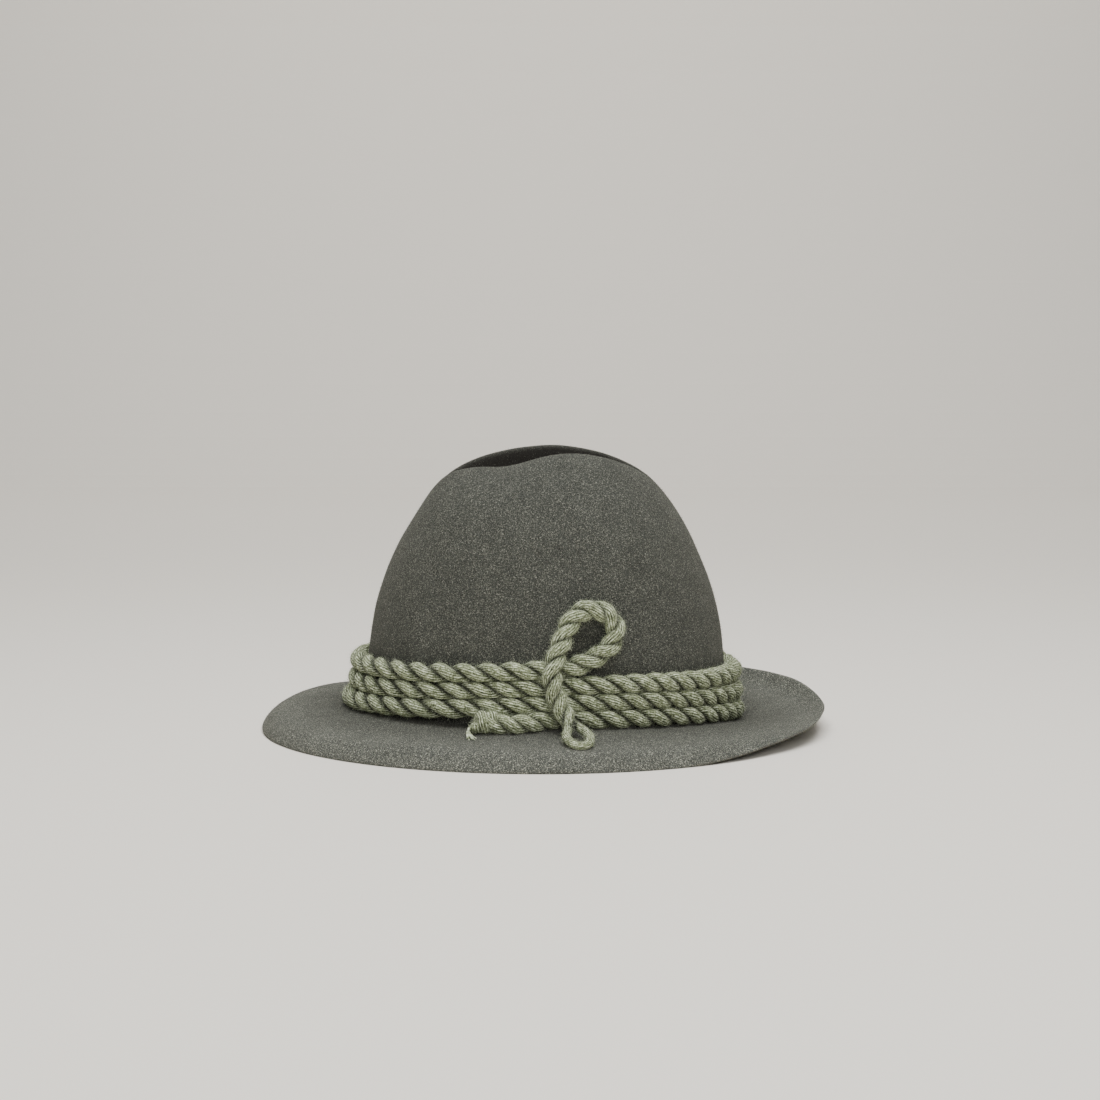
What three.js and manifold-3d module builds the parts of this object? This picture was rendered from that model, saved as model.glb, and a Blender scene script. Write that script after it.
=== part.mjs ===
import * as THREE from 'three';
import { ParametricGeometry } from 'three/addons/geometries/ParametricGeometry.js';
import { mergeVertices } from 'three/addons/utils/BufferGeometryUtils.js';
import Module from 'manifold-3d';

// A blocked felt hat with a lengthwise crease in its crown, and one long two-ply wool cord wound
// three times round the crown, then looped up on the wearer's left side.
// Millimetres, +Z up. +X is the back of the hat and -Y the wearer's left. The origin is on the
// surface that the hat rests on, under the middle of the brim. Angles run from the back of the
// hat towards the wearer's right, front and left, in degrees.

// Felt body
const CROWN_LENGTH = 205; // outside, where the crown meets the brim
const CROWN_WIDTH = 168;
const CROWN_TOP = 159; // top of the ridges on both sides of the crease
const CROWN_OFFSET = 2.8; // the crown stands this far behind the middle of the brim
const BRIM_LENGTH = 319;
const BRIM_WIDTH = 274;
const BRIM_SET = 16; // the break between crown and brim is at most this high
const BRIM_ROLL = 8; // how far the edge of the brim is rolled up or down
const BRIM_FOLD = 0.8; // share of the brim's reach where that roll starts
const BREAK_RADIUS = 4; // inside radius of the break
const DENT_DEPTH = 6.5; // the pinch in the ridge on the wearer's left
const FELT = 2.2; // wall

// Cord
const CORD = 8.3; // mean diameter over the hollows between its two plies
const TURNS = 3;
const KNOT_ANGLE = 274; // where each turn of the winding begins and ends
const END_ANGLE = 0.3; // left free at each end of the winding for the next stretch of cord
const EYE_PLY = 4.8; // one ply, folded back into the eye at the cord's end
const EYE_LENGTH = 27; // outside
const EYE_WIDTH = 17;
const EYE_SLOPE = 14; // degrees that the eye falls towards the brim
const EYE_TURN = 12; // degrees that it is turned towards the back
const KNOT_HEIGHT = 10.4; // the overhand knot that stops the other end, two bulges side by side
const KNOT_BULGE = 6.4; // each bulge measured along the cord
const KNOT_PITCH = 4.4; // from one bulge to the other
const TIP_LENGTH = 14.5; // the frayed end beyond the knot
const TIP_ROOT = 6.2; // its diameter at the knot
const TIP_END = 2;
const TIP_SLOPE = 14; // degrees that it falls towards the brim
const KNOT_LEAN = 1; // the outer bulge stands this far out from the inner one
const TIP_DROP = 1; // the frayed end starts this far below the knot's middle
const CLEARANCE = 0.5; // between the cord and what it touches

// Meshing
const AROUND = 56; // facets round the felt body
const CROWN_RINGS = 20;
const BREAK_RINGS = 3;
const BRIM_RINGS = [0.16, 0.36, 0.56, 0.72, 0.82, 0.89, 0.95, 1]; // shares of the brim's reach
const CORD_SIDES = 8;
const TURN_STEPS = 48;
const LOOP_STEPS = 44;
const TAIL_STEPS = 10;
const EYE_STEPS = 20;
const KNOT_STEPS = 10;
const WALL_TOP = 0.4; // share of the crown's line where a search for a height on its wall starts
const WALL_HALVINGS = 30;
const WALL_STEP = 0.5; // degrees between two points that give the wall's direction

// Sections of the crown from the floor of the crease, over the ridge and down to the break. long
// and wide are shares of the half length and half width. side and end are the heights on the
// hat's sides and at its two ends, as shares of the way from the break to CROWN_TOP.
const CROWN_SECTIONS = [
  { long: 0.430, wide: 0.000, side: 0.730, end: 0.828 },
  { long: 0.470, wide: 0.060, side: 0.765, end: 0.836 },
  { long: 0.530, wide: 0.180, side: 0.875, end: 0.842 },
  { long: 0.580, wide: 0.262, side: 0.968, end: 0.838 },
  { long: 0.630, wide: 0.335, side: 1.000, end: 0.822 },
  { long: 0.673, wide: 0.425, side: 0.982, end: 0.782 },
  { long: 0.746, wide: 0.560, side: 0.920, end: 0.700 },
  { long: 0.819, wide: 0.690, side: 0.820, end: 0.608 },
  { long: 0.884, wide: 0.800, side: 0.690, end: 0.505 },
  { long: 0.934, wide: 0.885, side: 0.535, end: 0.400 },
  { long: 0.970, wide: 0.950, side: 0.360, end: 0.275 },
  { long: 0.991, wide: 0.985, side: 0.170, end: 0.135 },
  { long: 1.000, wide: 1.000, side: 0.000, end: 0.000 },
];
const ARCH = 1.35; // how fast a section rises from its end heights to its side heights

// Places where the crown is pushed down. x and y are shares of its half length and half width,
// and so are long and wide, the reach of the dent. deep is a share of DENT_DEPTH.
const CROWN_DENTS = [
  { x: -0.21, y: -0.33, long: 0.150, wide: 0.21, deep: 1.00 },
  { x: -0.06, y: -0.56, long: 0.160, wide: 0.15, deep: 0.35 },
];

// The brim at every 30 degrees. crease and edge are heights at the break and at the fold, as
// shares of BRIM_SET. roll is a share of BRIM_ROLL, up or down.
const BRIM_STATIONS = [
  { crease: 0.36, edge: 0.52, roll: 0.70 }, // back
  { crease: 0.42, edge: 0.66, roll: 1.20 },
  { crease: 0.52, edge: 0.64, roll: 0.60 },
  { crease: 0.66, edge: 0.56, roll: -1.00 }, // wearer's right
  { crease: 0.80, edge: 0.62, roll: -0.75 },
  { crease: 0.88, edge: 0.74, roll: -0.15 },
  { crease: 0.90, edge: 0.62, roll: -0.90 }, // front
  { crease: 0.92, edge: 0.56, roll: -1.00 },
  { crease: 0.92, edge: 0.56, roll: -1.00 },
  { crease: 0.90, edge: 0.56, roll: -1.00 }, // wearer's left
  { crease: 0.82, edge: 0.54, roll: -0.95 },
  { crease: 0.60, edge: 0.56, roll: 0.12 },
];

// One turn of the cord at every 45 degrees after KNOT_ANGLE, in cord diameters: the height of the
// lowest turn's centre above the break, the step from each turn to the next, and how much
// further out each turn stands than the one above it.
const TURN_STATIONS = [
  { rise: 0.60, step: 1.045, lean: 0.00 },
  { rise: 0.66, step: 1.12, lean: 0.02 },
  { rise: 0.58, step: 1.38, lean: 0.03 },
  { rise: 0.58, step: 1.30, lean: 0.05 },
  { rise: 0.60, step: 1.20, lean: 0.10 },
  { rise: 0.60, step: 1.22, lean: 0.24 },
  { rise: 0.60, step: 1.25, lean: 0.36 },
  { rise: 0.96, step: 1.12, lean: 0.22 },
  { rise: 1.645, step: 1.045, lean: 0.00 },
];

// The cord's route on the wearer's left, in cord diameters: x from the crown's middle, the height
// above the break, and the distance of the cord's centre from the wall of the crown.
const LOOP_ROUTE = [
  { x: 0.88, up: 3.735, off: 0.56 },
  { x: 1.30, up: 3.775, off: 0.56 },
  { x: 2.15, up: 4.10, off: 0.60 },
  { x: 3.00, up: 4.52, off: 0.64 },
  { x: 3.75, up: 5.10, off: 0.66 },
  { x: 4.20, up: 5.90, off: 0.68 },
  { x: 4.08, up: 6.74, off: 0.70 },
  { x: 3.50, up: 7.36, off: 0.70 },
  { x: 2.70, up: 7.58, off: 0.70 },
  { x: 1.92, up: 7.32, off: 0.70 },
  { x: 1.38, up: 6.68, off: 0.72 },
  { x: 1.00, up: 5.84, off: 0.86 },
  { x: 0.68, up: 5.00, off: 1.16 },
  { x: 0.42, up: 4.22, off: 1.50 },
  { x: 0.30, up: 3.50, off: 1.63 },
  { x: 0.38, up: 2.74, off: 1.63 },
  { x: 0.60, up: 2.02, off: 1.63 },
  { x: 0.90, up: 1.32, off: 1.74 },
  { x: 1.25, up: 0.60, off: 2.20 },
];
const TAIL_ROUTE = [
  { x: 0.82, up: 0.60, off: 0.56 },
  { x: 0.42, up: 0.58, off: 0.58 },
  { x: -0.05, up: 0.56, off: 0.76 },
  { x: -0.70, up: 0.55, off: 1.12 },
  { x: -1.70, up: 0.55, off: 1.48 },
  { x: -2.70, up: 0.53, off: 1.66 },
  { x: -3.45, up: 0.55, off: 1.66 },
];

const wasm = await Module();
wasm.setup();

const radians = THREE.MathUtils.degToRad;
const { lerp } = THREE.MathUtils;

// Reads a table between its rows, along a smooth curve through each of the named columns
function tableReader(rows, names, closed = false) {
  const curves = names.map((name) => {
    const points = rows.map((row) => new THREE.Vector3(row[name], 0, 0));
    return new THREE.CatmullRomCurve3(points, closed, 'catmullrom');
  });
  return (share) => Object.fromEntries(names.map((name, i) => [name, curves[i].getPoint(share).x]));
}

const crownAt = tableReader(CROWN_SECTIONS, ['long', 'wide', 'side', 'end']);
const brimAt = tableReader(BRIM_STATIONS, ['crease', 'edge', 'roll'], true);
const turnAt = tableReader(TURN_STATIONS, ['rise', 'step', 'lean']);

function brimStation(angle) {
  return brimAt(THREE.MathUtils.euclideanModulo(angle / 360, 1));
}

function breakHeight(angle) {
  return brimStation(angle).crease * BRIM_SET;
}

// How far the dents push the crown down at one point of its plan, given as shares
function dentAt(x, y) {
  return CROWN_DENTS.reduce((sum, dent) => {
    const reach = ((x - dent.x) / dent.long) ** 2 + ((y - dent.y) / dent.wide) ** 2;
    return sum + dent.deep * DENT_DEPTH * Math.exp(-reach / 2);
  }, 0);
}

// The crown's outer face. share runs from 0 at the crease's floor to 1 at the break.
function crownPoint(share, angle) {
  const row = crownAt(share);
  const cos = Math.cos(radians(angle));
  const sin = Math.sin(radians(angle));
  const rise = lerp(row.end, row.side, Math.abs(sin) ** ARCH);
  const foot = lerp(BRIM_SET, breakHeight(angle), share ** 2) + BREAK_RADIUS;
  const height = lerp(foot, CROWN_TOP, rise) - dentAt(row.long * cos, row.wide * sin);
  return new THREE.Vector3(
    CROWN_OFFSET + row.long * (CROWN_LENGTH / 2) * cos,
    row.wide * (CROWN_WIDTH / 2) * sin,
    height,
  );
}

// The rounded break, from the wall at share 0 to the brim at share 1
function breakPoint(share, angle) {
  const bend = radians(90 * share);
  const out = BREAK_RADIUS * (1 - Math.cos(bend));
  return new THREE.Vector3(
    CROWN_OFFSET + (CROWN_LENGTH / 2 + out) * Math.cos(radians(angle)),
    (CROWN_WIDTH / 2 + out) * Math.sin(radians(angle)),
    breakHeight(angle) + BREAK_RADIUS * (1 - Math.sin(bend)),
  );
}

// The brim's upper face, from the break at share 0 to the rim at share 1
function brimPoint(share, angle) {
  const station = brimStation(angle);
  const roll = Math.max(0, (share - BRIM_FOLD) / (1 - BRIM_FOLD)) ** 2;
  const length = lerp(CROWN_LENGTH / 2 + BREAK_RADIUS, BRIM_LENGTH / 2, share);
  const width = lerp(CROWN_WIDTH / 2 + BREAK_RADIUS, BRIM_WIDTH / 2, share);
  const offset = lerp(CROWN_OFFSET, 0, share);
  return new THREE.Vector3(
    offset + length * Math.cos(radians(angle)),
    width * Math.sin(radians(angle)),
    lerp(station.crease, station.edge, share) * BRIM_SET + station.roll * BRIM_ROLL * roll,
  );
}

// The whole upper face of the felt: place 0 to 1 is the crown, 1 to 2 the break, 2 to 3 the brim
function feltPoint(place, angle) {
  if (place <= 1) return crownPoint(place, angle);
  if (place <= 2) return breakPoint(place - 1, angle);
  return brimPoint(place - 2, angle);
}

const PROBE = 0.004; // step for slopes, in places and in degrees

function feltNormal(place, angle) {
  if (place === 0) return new THREE.Vector3(0, 0, 1);
  const before = feltPoint(Math.max(0, place - PROBE), angle);
  const along = feltPoint(Math.min(3, place + PROBE), angle).sub(before);
  const across = feltPoint(place, angle + PROBE).sub(feltPoint(place, angle - PROBE));
  return along.cross(across).normalize();
}

// The felt's two faces as rings: under the crown and brim from the crease outwards, round the
// edge of the brim, and back over the top. It is flattened where it rests.
function feltRings() {
  const places = [];
  for (let i = 0; i <= CROWN_RINGS; i += 1) places.push(i / CROWN_RINGS);
  for (let i = 1; i <= BREAK_RINGS; i += 1) places.push(1 + i / BREAK_RINGS);
  BRIM_RINGS.forEach((share) => places.push(2 + share));
  const under = places.map((place) => ({ place, depth: FELT, out: 0 }));
  const edge = { place: 3, depth: FELT / 2, out: FELT * 0.35 };
  const over = places.map((place) => ({ place, depth: 0, out: 0 })).reverse();
  return [...under, edge, ...over];
}

function feltBody() {
  const rings = feltRings();
  const surface = (u, v, target) => {
    const ring = rings[Math.round(v * (rings.length - 1))];
    const angle = 360 * (u === 1 ? 0 : u);
    const normal = feltNormal(ring.place, angle);
    target.copy(feltPoint(ring.place, angle)).addScaledVector(normal, -ring.depth);
    const outward = new THREE.Vector3(Math.cos(radians(angle)), Math.sin(radians(angle)), 0);
    outward.addScaledVector(normal, -outward.dot(normal)).normalize();
    target.addScaledVector(outward, ring.out);
    target.z = Math.max(0, target.z);
  };
  return closedMesh(new ParametricGeometry(surface, AROUND, rings.length - 1));
}

// Merges shared vertices, drops the triangles that a closed end has squeezed to nothing, and
// turns the faces out
function closedMesh(geometry) {
  geometry.deleteAttribute('normal');
  geometry.deleteAttribute('uv');
  const merged = mergeVertices(geometry, 0.001);
  const index = Array.from(merged.index.array);
  const faces = [];
  for (let i = 0; i < index.length; i += 3) {
    const [a, b, c] = index.slice(i, i + 3);
    if (a !== b && b !== c && c !== a) faces.push([a, b, c]);
  }
  merged.setIndex(faces.flat());
  if (volume(merged) < 0) merged.setIndex(faces.map(([a, b, c]) => [a, c, b]).flat());
  return merged;
}

function volume(geometry) {
  const { position } = geometry.attributes;
  const [a, b, c] = [new THREE.Vector3(), new THREE.Vector3(), new THREE.Vector3()];
  let total = 0;
  for (let i = 0; i < geometry.index.count; i += 3) {
    a.fromBufferAttribute(position, geometry.index.getX(i));
    b.fromBufferAttribute(position, geometry.index.getX(i + 1));
    c.fromBufferAttribute(position, geometry.index.getX(i + 2));
    total += a.dot(b.cross(c)) / 6;
  }
  return total;
}

function toSolid(geometry) {
  const closed = closedMesh(geometry);
  return new wasm.Manifold(new wasm.Mesh({
    numProp: 3,
    vertProperties: new Float32Array(closed.attributes.position.array),
    triVerts: new Uint32Array(closed.index.array),
  }));
}

function toGeometry(solid) {
  const mesh = solid.getMesh();
  const geometry = new THREE.BufferGeometry();
  geometry.setAttribute('position', new THREE.BufferAttribute(mesh.vertProperties, 3));
  geometry.setIndex(new THREE.BufferAttribute(mesh.triVerts, 1));
  return geometry;
}

// The point of the crown's wall at one angle and height, found by halving
function wallPoint(angle, height) {
  let [high, low] = [WALL_TOP, 1];
  for (let i = 0; i < WALL_HALVINGS; i += 1) {
    const middle = (high + low) / 2;
    if (crownPoint(middle, angle).z > height) high = middle;
    else low = middle;
  }
  return crownPoint(low, angle);
}

// A point beside the wall, as far off it as given, level with the given height
function besideWall(angle, height, off) {
  const wall = wallPoint(angle, height);
  const next = wallPoint(angle + WALL_STEP, height);
  const outward = new THREE.Vector3(next.y - wall.y, wall.x - next.x, 0).normalize();
  const point = wall.addScaledVector(outward, off);
  point.z = height;
  return point;
}

// A point of the wearer's left side, from a row of a cord's route
function routePoint({ x, up, off }) {
  let angle = 270;
  for (let i = 0; i < 6; i += 1) {
    const wall = wallPoint(angle, breakHeight(angle) + up * CORD);
    angle += THREE.MathUtils.radToDeg((CROWN_OFFSET + x * CORD - wall.x) / -wall.y);
  }
  return besideWall(angle, breakHeight(angle) + up * CORD, off * CORD);
}

function windingPoint(turned) {
  const turn = Math.min(Math.floor(turned / 360), TURNS - 1);
  const station = turnAt((turned - 360 * turn) / 360);
  const angle = KNOT_ANGLE + turned;
  const height = breakHeight(angle) + (station.rise + turn * station.step) * CORD;
  const lean = (TURNS - 1 - turned / 360) * station.lean * CORD;
  return besideWall(angle, height, CORD / 2 + CLEARANCE + Math.max(0, lean));
}

function tube(points, steps, diameter) {
  const outline = new THREE.Shape();
  outline.absarc(0, 0, diameter / 2, 0, 2 * Math.PI);
  const extrudePath = new THREE.CatmullRomCurve3(points);
  return new THREE.ExtrudeGeometry(outline, { steps, extrudePath, curveSegments: CORD_SIDES / 2 });
}

// Three turns, from beside the tail to beside the loop
function cordWinding() {
  const steps = TURNS * TURN_STEPS;
  const points = [];
  for (let i = 0; i <= steps; i += 1) {
    points.push(windingPoint(lerp(END_ANGLE, 360 * TURNS - END_ANGLE, i / steps)));
  }
  return closedMesh(tube(points, steps, CORD));
}

// A closed ring of one ply, lying on the brim with its neck at the given point
function eye(neck) {
  const long = (EYE_LENGTH - EYE_PLY) / 2;
  const wide = (EYE_WIDTH - EYE_PLY) / 2;
  const ring = new THREE.TorusGeometry(wide, EYE_PLY / 2, CORD_SIDES, EYE_STEPS);
  ring.scale(1, long / wide, 1);
  ring.translate(0, -long, 0);
  ring.rotateX(radians(EYE_SLOPE));
  ring.rotateZ(radians(EYE_TURN));
  ring.translate(neck.x, neck.y, neck.z);
  return ring;
}

function cordLoop() {
  const points = LOOP_ROUTE.map(routePoint);
  const neck = points.at(-1);
  const run = toSolid(tube(points, LOOP_STEPS, CORD));
  return toGeometry(run.add(toSolid(eye(neck))));
}

// The other end: a short tail that lies on the brim, its stopper knot and the frayed tip
function cordTail() {
  const points = TAIL_ROUTE.map(routePoint);
  const end = points.at(-1);
  const run = toSolid(tube(points, TAIL_STEPS, CORD));
  return toGeometry(run.add(knotBulge(end, 0)).add(knotBulge(end, 1)).add(frayedTip(end)));
}

function knotBulge(end, number) {
  const bulge = new THREE.SphereGeometry(KNOT_HEIGHT / 2, KNOT_STEPS, KNOT_STEPS - 2);
  bulge.scale(KNOT_BULGE / KNOT_HEIGHT, 1, 1);
  bulge.translate(end.x - number * KNOT_PITCH, end.y - number * KNOT_LEAN, end.z);
  return toSolid(bulge);
}

function frayedTip(end) {
  const tip = new THREE.CylinderGeometry(TIP_ROOT / 2, TIP_END / 2, TIP_LENGTH, CORD_SIDES);
  tip.translate(0, -TIP_LENGTH / 2, 0);
  tip.rotateX(radians(TIP_SLOPE));
  tip.translate(end.x - KNOT_PITCH, end.y, end.z - TIP_DROP);
  return toSolid(tip);
}

function feltMaterial() {
  return new THREE.MeshStandardMaterial({ color: 0x565751, roughness: 0.95, metalness: 0 });
}

function woolMaterial() {
  return new THREE.MeshStandardMaterial({ color: 0x7a8068, roughness: 0.9, metalness: 0 });
}

function piece(name, geometry, material) {
  const mesh = new THREE.Mesh(geometry, material);
  mesh.name = name;
  return mesh;
}

const hat = new THREE.Group();
hat.add(piece('felt_body', feltBody(), feltMaterial()));
hat.add(piece('cord_winding', cordWinding(), woolMaterial()));
hat.add(piece('cord_loop', cordLoop(), woolMaterial()));
hat.add(piece('cord_tail', cordTail(), woolMaterial()));
const middle = new THREE.Box3().setFromObject(hat).getCenter(new THREE.Vector3());
hat.position.set(-middle.x, -middle.y, 0);

export default hat;
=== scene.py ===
import math

import bmesh
import bpy
import numpy as np
from bpy.props import FloatProperty, FloatVectorProperty, IntProperty, PointerProperty
from mathutils import Matrix, Vector, noise
from mathutils.bvhtree import BVHTree


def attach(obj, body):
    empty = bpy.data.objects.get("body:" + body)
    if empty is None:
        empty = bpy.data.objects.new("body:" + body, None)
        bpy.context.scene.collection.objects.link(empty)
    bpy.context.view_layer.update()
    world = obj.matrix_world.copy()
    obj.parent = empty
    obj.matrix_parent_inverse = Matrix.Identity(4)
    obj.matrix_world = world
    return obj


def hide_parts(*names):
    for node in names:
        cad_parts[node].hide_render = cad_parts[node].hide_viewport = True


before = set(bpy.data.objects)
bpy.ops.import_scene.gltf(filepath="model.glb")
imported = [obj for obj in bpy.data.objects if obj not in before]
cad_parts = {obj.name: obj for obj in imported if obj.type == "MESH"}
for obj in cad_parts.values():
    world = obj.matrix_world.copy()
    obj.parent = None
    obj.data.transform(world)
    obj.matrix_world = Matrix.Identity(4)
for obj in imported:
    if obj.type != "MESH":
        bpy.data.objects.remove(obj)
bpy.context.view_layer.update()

# A blocked wool felt hat with a two-ply wool cord wound three times round its crown.
# Metres, +Z up, +X the back of the hat and -Y the wearer's left, as in the frame.

bl_info = {
    "name": "Wool felt hat",
    "version": (1, 0, 0),
    "blender": (4, 5, 0),
    "location": "3D View > Sidebar > Felt Hat",
    "description": "Builds a creased wool felt hat with a twisted wool cord round its crown",
    "category": "Object",
}

MM = 0.001

# Where the cord runs, as in the part's source
CROWN_MIDDLE = 1.97 * MM
CROWN_LENGTH = 205 * MM
CROWN_WIDTH = 168 * MM
BRIM_SET = 16 * MM
CORD = 8.3 * MM  # mean diameter
CLEARANCE = 0.5 * MM
RIDGE_LENGTH = 129 * MM  # the crown's ridge, seen from above
RIDGE_WIDTH = 56 * MM
TURNS = 3
KNOT_ANGLE = 274
EYE_PLY = 4.8 * MM
EYE_LENGTH = 23.5 * MM
EYE_WIDTH = 17 * MM
EYE_SLOPE = 19
EYE_TURN = 12
EYE_SHARES = (0.085, 0.915)  # the part of the eye's oval that the strand runs round
KNOT_PITCH = 5.2 * MM
KNOT_RADIUS = 3.0 * MM
KNOT_FROM, KNOT_TO = -0.5 * math.pi, 3.6 * math.pi  # how far its ply winds round
KNOT_PLY = 0.54  # radius of that ply, in ply diameters
FRAYED_YARNS = 9
FRAYED_ROOT, FRAYED_TIP = 0.55 * MM, 0.22 * MM  # radii of one of them
FRAYED_SIDES = 8
FRAYED_STEP = 0.5 * MM
WALL_STEP = 0.4 * MM  # past the wall's inner face, to look for the outer one

# Height of the break between crown and brim at every 30 degrees from the back, in BRIM_SET
BREAK_HEIGHTS = (0.36, 0.42, 0.52, 0.66, 0.80, 0.88, 0.90, 0.92, 0.92, 0.90, 0.82, 0.60)

# One turn of the cord at every 45 degrees, in cord diameters: rise, step, lean
TURN_STATIONS = (
    (0.60, 1.045, 0.00),
    (0.66, 1.12, 0.02),
    (0.58, 1.38, 0.03),
    (0.58, 1.30, 0.05),
    (0.60, 1.20, 0.10),
    (0.55, 1.22, 0.24),
    (0.50, 1.25, 0.36),
    (0.90, 1.12, 0.22),
    (1.645, 1.045, 0.00),
)

# Routes on the wearer's left, in cord diameters: x from the crown's middle, height above the
# break, and distance of the cord's centre from the crown's wall
LOOP_ROUTE = (
    (0.88, 3.735, 0.56),
    (1.30, 3.775, 0.56),
    (2.15, 4.10, 0.60),
    (3.00, 4.52, 0.64),
    (3.75, 5.10, 0.66),
    (4.20, 5.90, 0.68),
    (4.08, 6.74, 0.70),
    (3.50, 7.36, 0.70),
    (2.70, 7.58, 0.70),
    (1.92, 7.32, 0.70),
    (1.38, 6.68, 0.72),
    (1.00, 5.84, 0.86),
    (0.68, 5.00, 1.16),
    (0.42, 4.22, 1.50),
    (0.30, 3.50, 1.63),
    (0.38, 2.74, 1.63),
    (0.60, 2.02, 1.63),
    (0.90, 1.32, 1.74),
    (1.44, 0.42, 2.62),
)
TAIL_ROUTE = (
    (0.82, 0.60, 0.56),
    (0.42, 0.58, 0.58),
    (-0.05, 0.56, 0.76),
    (-0.70, 0.46, 1.14),
    (-1.70, 0.36, 1.50),
    (-2.70, 0.40, 1.68),
    (-3.45, 0.46, 1.68),
)

# How the plies lie
PATH_STEP = 1.2 * MM
TAIL_POINTS = 60
LOOP_POINTS = 200
TURN_POINTS = 120
EYE_POINTS = 50
KNOT_POINTS = 120
LINE_EASE = 2  # points over which small kinks are smoothed
STRAND_EASE = 3
LOOP_LAY = 21 * MM  # one full twist of the two plies
TAIL_LAY = 19 * MM
WINDING_LAY = 27 * MM
YARNS = 15  # yarns that show round one ply
PLY_SIDES = 24
YARN_LAY = 110 * MM
LAY_SWING = 0.11  # the winding's twist is this much tighter and looser round the hat
LAY_WANDER = 0.06
SPREAD_WANDER = 0.05
PLY_WANDER = 0.035
FREE_END = 3 * MM  # a ply rounds off over this length
OPEN_FROM, OPEN_TO = 15 * MM, 3 * MM  # before the neck, where the twist opens
OPEN_SPREAD = 0.12
OPEN_THIN = 0.28
JOINT_FROM, JOINT_TO = 8 * MM, 3 * MM  # round each end of the eye, where the strand is eased

# What the cord is pressed against
AIR = 0.1 * MM  # left between the two
OTHER_STRETCH = 25 * MM  # cord further along than this is a neighbour
NEIGHBOUR_FACING = 0.6  # how squarely it lies above, below, outside or inside
NO_NEIGHBOUR = 1.0  # metres
GROOVE_SHADE_FROM, GROOVE_SHADE_TO = -0.75, 0.45  # in ply radii towards its mate, where its colour is darkened as painted shade

# Loose fibres
FIBRE_WIDTH = 0.09 * MM
FIBRE_ROOT = 0.1 * MM  # how deep its foot stands in the wool
FIBRE_BELT = 0.4  # the share of its length where it is thickest and bends
FIBRE_BEND = 0.16
FIBRE_SHORTEST = 0.35
NAP_LEAN = 1.15  # radians
FUZZ_LEAN = 1.25
WINDING_FUZZ = 20000  # on each ply
LOOP_FUZZ = 7000
TAIL_FUZZ = 3000

# The felt's slow and quick unevenness: its size and how far it moves the felt
SLOW_WAVE, SLOW_SWING = 45 * MM, 1.0 * MM
QUICK_WAVE, QUICK_SWING = 16 * MM, 0.3 * MM
STILL_HEIGHT = 9 * MM  # it fades out below this, towards the edge that the hat rests on
WAVE_SEED = 1

# Where the felt's colour is darkened in the crease as painted shade, and made paler at the brim's
# edge, partly as wear and partly as a painted highlight. Reach is 1 at the crown's or the ridge's
# oval.
CREASE_SHADE_FROM, CREASE_SHADE_TO = 1.05, 0.85
CREASE_SHADE_LOW, CREASE_SHADE_HIGH = 100 * MM, 110 * MM
CREASE_SHADE_NEAR, CREASE_SHADE_FAR = 0.4, 0.9  # how dark its near and far walls are
FAR_FROM, FAR_TO = -0.16, 0.24  # across the ridge's oval, where the one passes into the other
UPWARD = 0.25  # a face turned up by this much or more is the felt's upper face
# The brim's edge is made paler, partly as wear and partly as a painted highlight
WEAR_HIGHLIGHT_FROM, WEAR_HIGHLIGHT_TO = 1.1, 1.55
WEAR_HIGHLIGHT_HIGH, WEAR_HIGHLIGHT_LOW = 32 * MM, 18 * MM
WEAR_HIGHLIGHT_PALER = 1.7

# Wool as drawn: fibres are finer than the render shows, so they are drawn larger
FELT_SPECK = 0.42 * MM
FELT_LIGHT_SPECK = 0.55 * MM
FELT_MOTTLE = 14 * MM
CORD_SPECK = 0.9 * MM
CORD_WOBBLE = 7 * MM
CORD_FIBRES = 32  # streaks round one ply
CORD_FIBRE_LENGTH = 3 * MM
YARN_WANDER = 9.0  # radians by which the yarns' lines waver
YARN_WEIGHT = 0.13
SPECK_WEIGHT = 0.8
FIBRE_TONE = 2.5 * MM  # how far apart loose fibres differ in tone

FLOOR_HALF = 4
FLOOR_BACK = 2
BEND_RADIUS = 1
BACKDROP_HEIGHT = 3
HAT_MIDDLE = (0, 0, 0.06)

# Soft lights: name, place, width, depth, aim
LIGHTS = (
    ("key", (0.05, -0.3, 1.3), 1.2, 0.9, HAT_MIDDLE),
    ("backdrop", (0, 1.2, 2.2), 3.0, 0.6, (0, 3, 0.9)),
    ("front", (0.1, -1.3, 0.55), 0.7, 0.4, HAT_MIDDLE),
)

CAMERA_PLACE = (3.8 * MM, -1.1, 205 * MM)
CAMERA_PITCH = 5.43  # degrees down
CAMERA_LENS = 63.72


def linear(hex_code):
    """An sRGB hex value as linear red, green and blue"""
    parts = [int(hex_code[i : i + 2], 16) / 255 for i in (1, 3, 5)]
    return [c / 12.92 if c <= 0.04045 else ((c + 0.055) / 1.055) ** 2.4 for c in parts]


def rgba(colour):
    return (*colour, 1.0)


class FeltSettings(bpy.types.PropertyGroup):
    base: FloatVectorProperty(
        name="Felt",
        description="Main colour of the heather felt",
        subtype="COLOR",
        default=linear("#3f413d"),
    )
    dark: FloatVectorProperty(
        name="Dark fibres",
        description="Colour of the dark fibres in the felt",
        subtype="COLOR",
        default=linear("#1d1d19"),
    )
    light: FloatVectorProperty(
        name="Light fibres",
        description="Colour of the light fibres in the felt",
        subtype="COLOR",
        default=linear("#8f8f82"),
    )
    nap_length: FloatProperty(
        name="Nap length",
        description="Length of the longest loose fibres on the felt",
        unit="LENGTH",
        default=1.7 * MM,
        min=0.2 * MM,
        max=5 * MM,
    )
    nap_count: IntProperty(
        name="Nap fibres",
        description="How many loose fibres stand on the felt",
        default=50000,
        min=0,
        max=60000,
    )


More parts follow.
